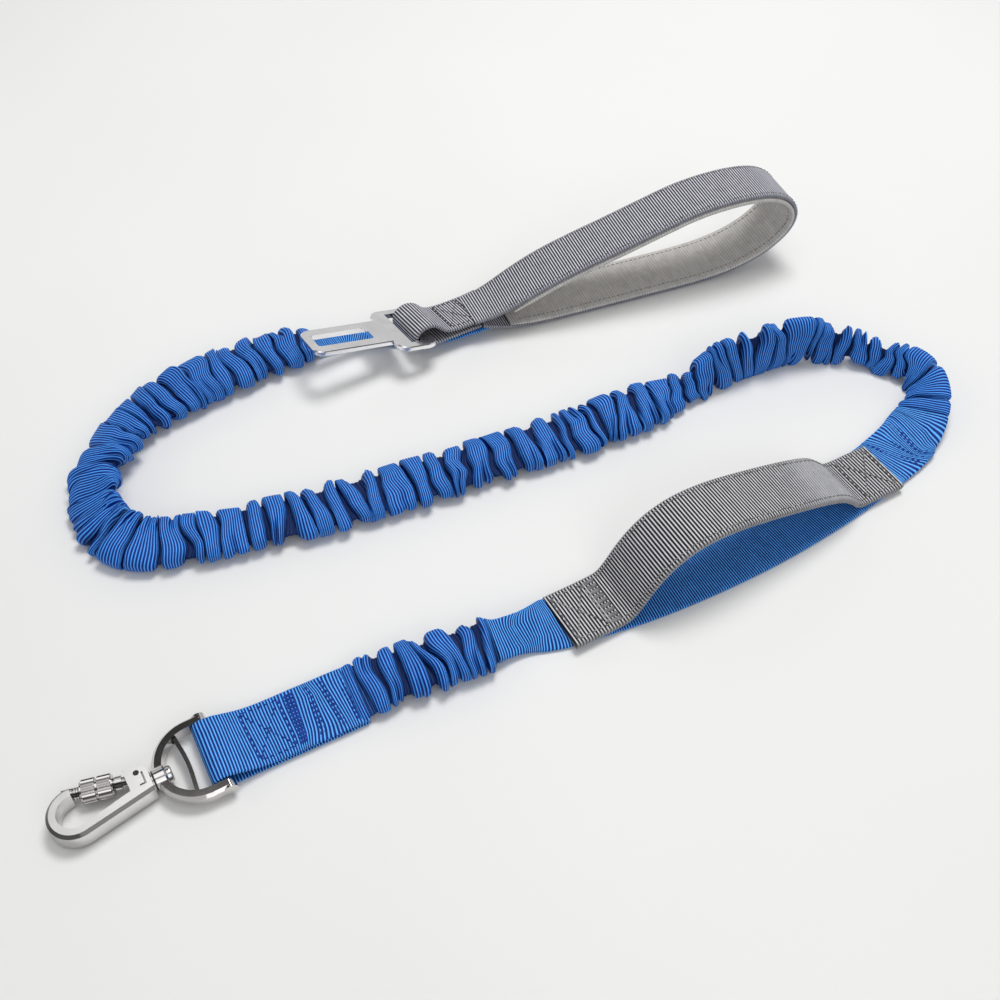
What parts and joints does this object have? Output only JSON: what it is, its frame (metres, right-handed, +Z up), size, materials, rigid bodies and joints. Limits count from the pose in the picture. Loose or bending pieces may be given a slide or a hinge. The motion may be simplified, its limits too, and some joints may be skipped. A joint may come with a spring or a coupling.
{
  "type": "bungee dog leash",
  "caption": "Car bungee dog leash: gathered elastic webbing, swivel snap hook with locking gate, traffic handle, seat-belt tongue and padded hand loop.",
  "frame": {"origin": "middle of the bounding box, on the surface the leash lies on", "axes": "+X along the long way of the layout, from the snap hook towards the far end of the traffic handle, +Z up"},
  "size_m": [0.3632, 0.3174, 0.0437],
  "materials": {
    "cast_metal": "nickel-plated zinc casting, satin",
    "spring_wire": "drawn wire",
    "plated_steel": "bright chrome",
    "blue_webbing": "woven polyester, ribbed",
    "blue_gathered": "woven polyester, gathered",
    "elastic": "flat covered elastic",
    "grey_webbing": "coarse ribbed webbing",
    "grey_lining": "woven lining",
    "neoprene": "cloth-faced foam",
    "grey_thread": "bonded thread",
    "blue_thread": "bonded thread"
  },
  "bodies": {
    "strap": {"traffic_strap": "blue_webbing", "traffic_handle": "grey_webbing", "traffic_handle_lining": "grey_lining", "handle_front_stitch": "grey_thread", "handle_rear_stitch": "grey_thread", "bungee_lead_in": "blue_webbing", "arc_bungee_sleeve": "blue_gathered", "arc_bungee_elastic": "elastic", "short_bungee_sleeve": "blue_gathered", "short_bungee_elastic": "elastic", "run_bungee_sleeve": "blue_gathered", "run_bungee_elastic": "elastic"},
    "hook_end": {"clip_tab": "blue_webbing", "clip_tab_box_stitch": "blue_thread", "clip_tab_bartack": "blue_thread", "clip_tab_row_stitch": "blue_thread"},
    "ring": {"swivel_eye": "cast_metal"},
    "hook": {"hook_body": "cast_metal", "gate_pin": "cast_metal", "gate_spring": "spring_wire", "swivel_rivet": "cast_metal", "swivel_washer": "cast_metal"},
    "gate": {"gate_rod": "cast_metal"},
    "lock": {"lock_barrel": "cast_metal"},
    "hand_end": {"bend_bungee_sleeve": "blue_gathered", "bend_bungee_elastic": "elastic", "tail_strap": "blue_webbing", "keeper_loop": "grey_webbing", "hand_loop": "grey_webbing", "hand_loop_padding": "neoprene", "hand_loop_stitch": "grey_thread"},
    "tongue": {"buckle_tongue": "plated_steel"}
  },
  "joints": [
    {"name": "short_bungee_stretch", "type": "slide", "parent": "strap", "child": "hook_end", "axis": [-0.9062, -0.4229, 0], "range_m": [0, 0.035], "stiffness_N_per_m": 600, "deforming": ["short_bungee_sleeve", "short_bungee_elastic"]},
    {"name": "ring_hinge", "type": "hinge", "parent": "hook_end", "child": "ring", "pos_m": [-0.10315, -0.12661, 0.004], "axis": [-0.5, 0.866, 0], "range_deg": [0, 150]},
    {"name": "hook_swivel", "type": "hinge", "parent": "ring", "child": "hook", "pos_m": [-0.12047, -0.13661, 0.004], "axis": [-0.866, -0.5, 0], "continuous": true},
    {"name": "gate_hinge", "type": "hinge", "parent": "hook", "child": "gate", "pos_m": [-0.1266, -0.13599, 0.004], "axis": [0, 0, 1], "range_deg": [0, 25], "stiffness_Nm_per_rad": 0.05},
    {"name": "lock_slide", "type": "slide", "parent": "gate", "child": "lock", "axis": [-0.9632, -0.2689, 0], "range_m": [0, 0.0019]},
    {"name": "long_bungee_stretch", "type": "slide", "parent": "strap", "child": "hand_end", "axis": [-0.9285, -0.3714, 0], "range_m": [0, 0.12], "stiffness_N_per_m": 150, "deforming": ["run_bungee_sleeve", "run_bungee_elastic"]},
    {"name": "tongue_hinge", "type": "hinge", "parent": "hand_end", "child": "tongue", "pos_m": [-0.04253, 0.08097, 0.00718], "axis": [-0.491, 0.849, -0.195], "range_deg": [0, 80]}
  ]
}
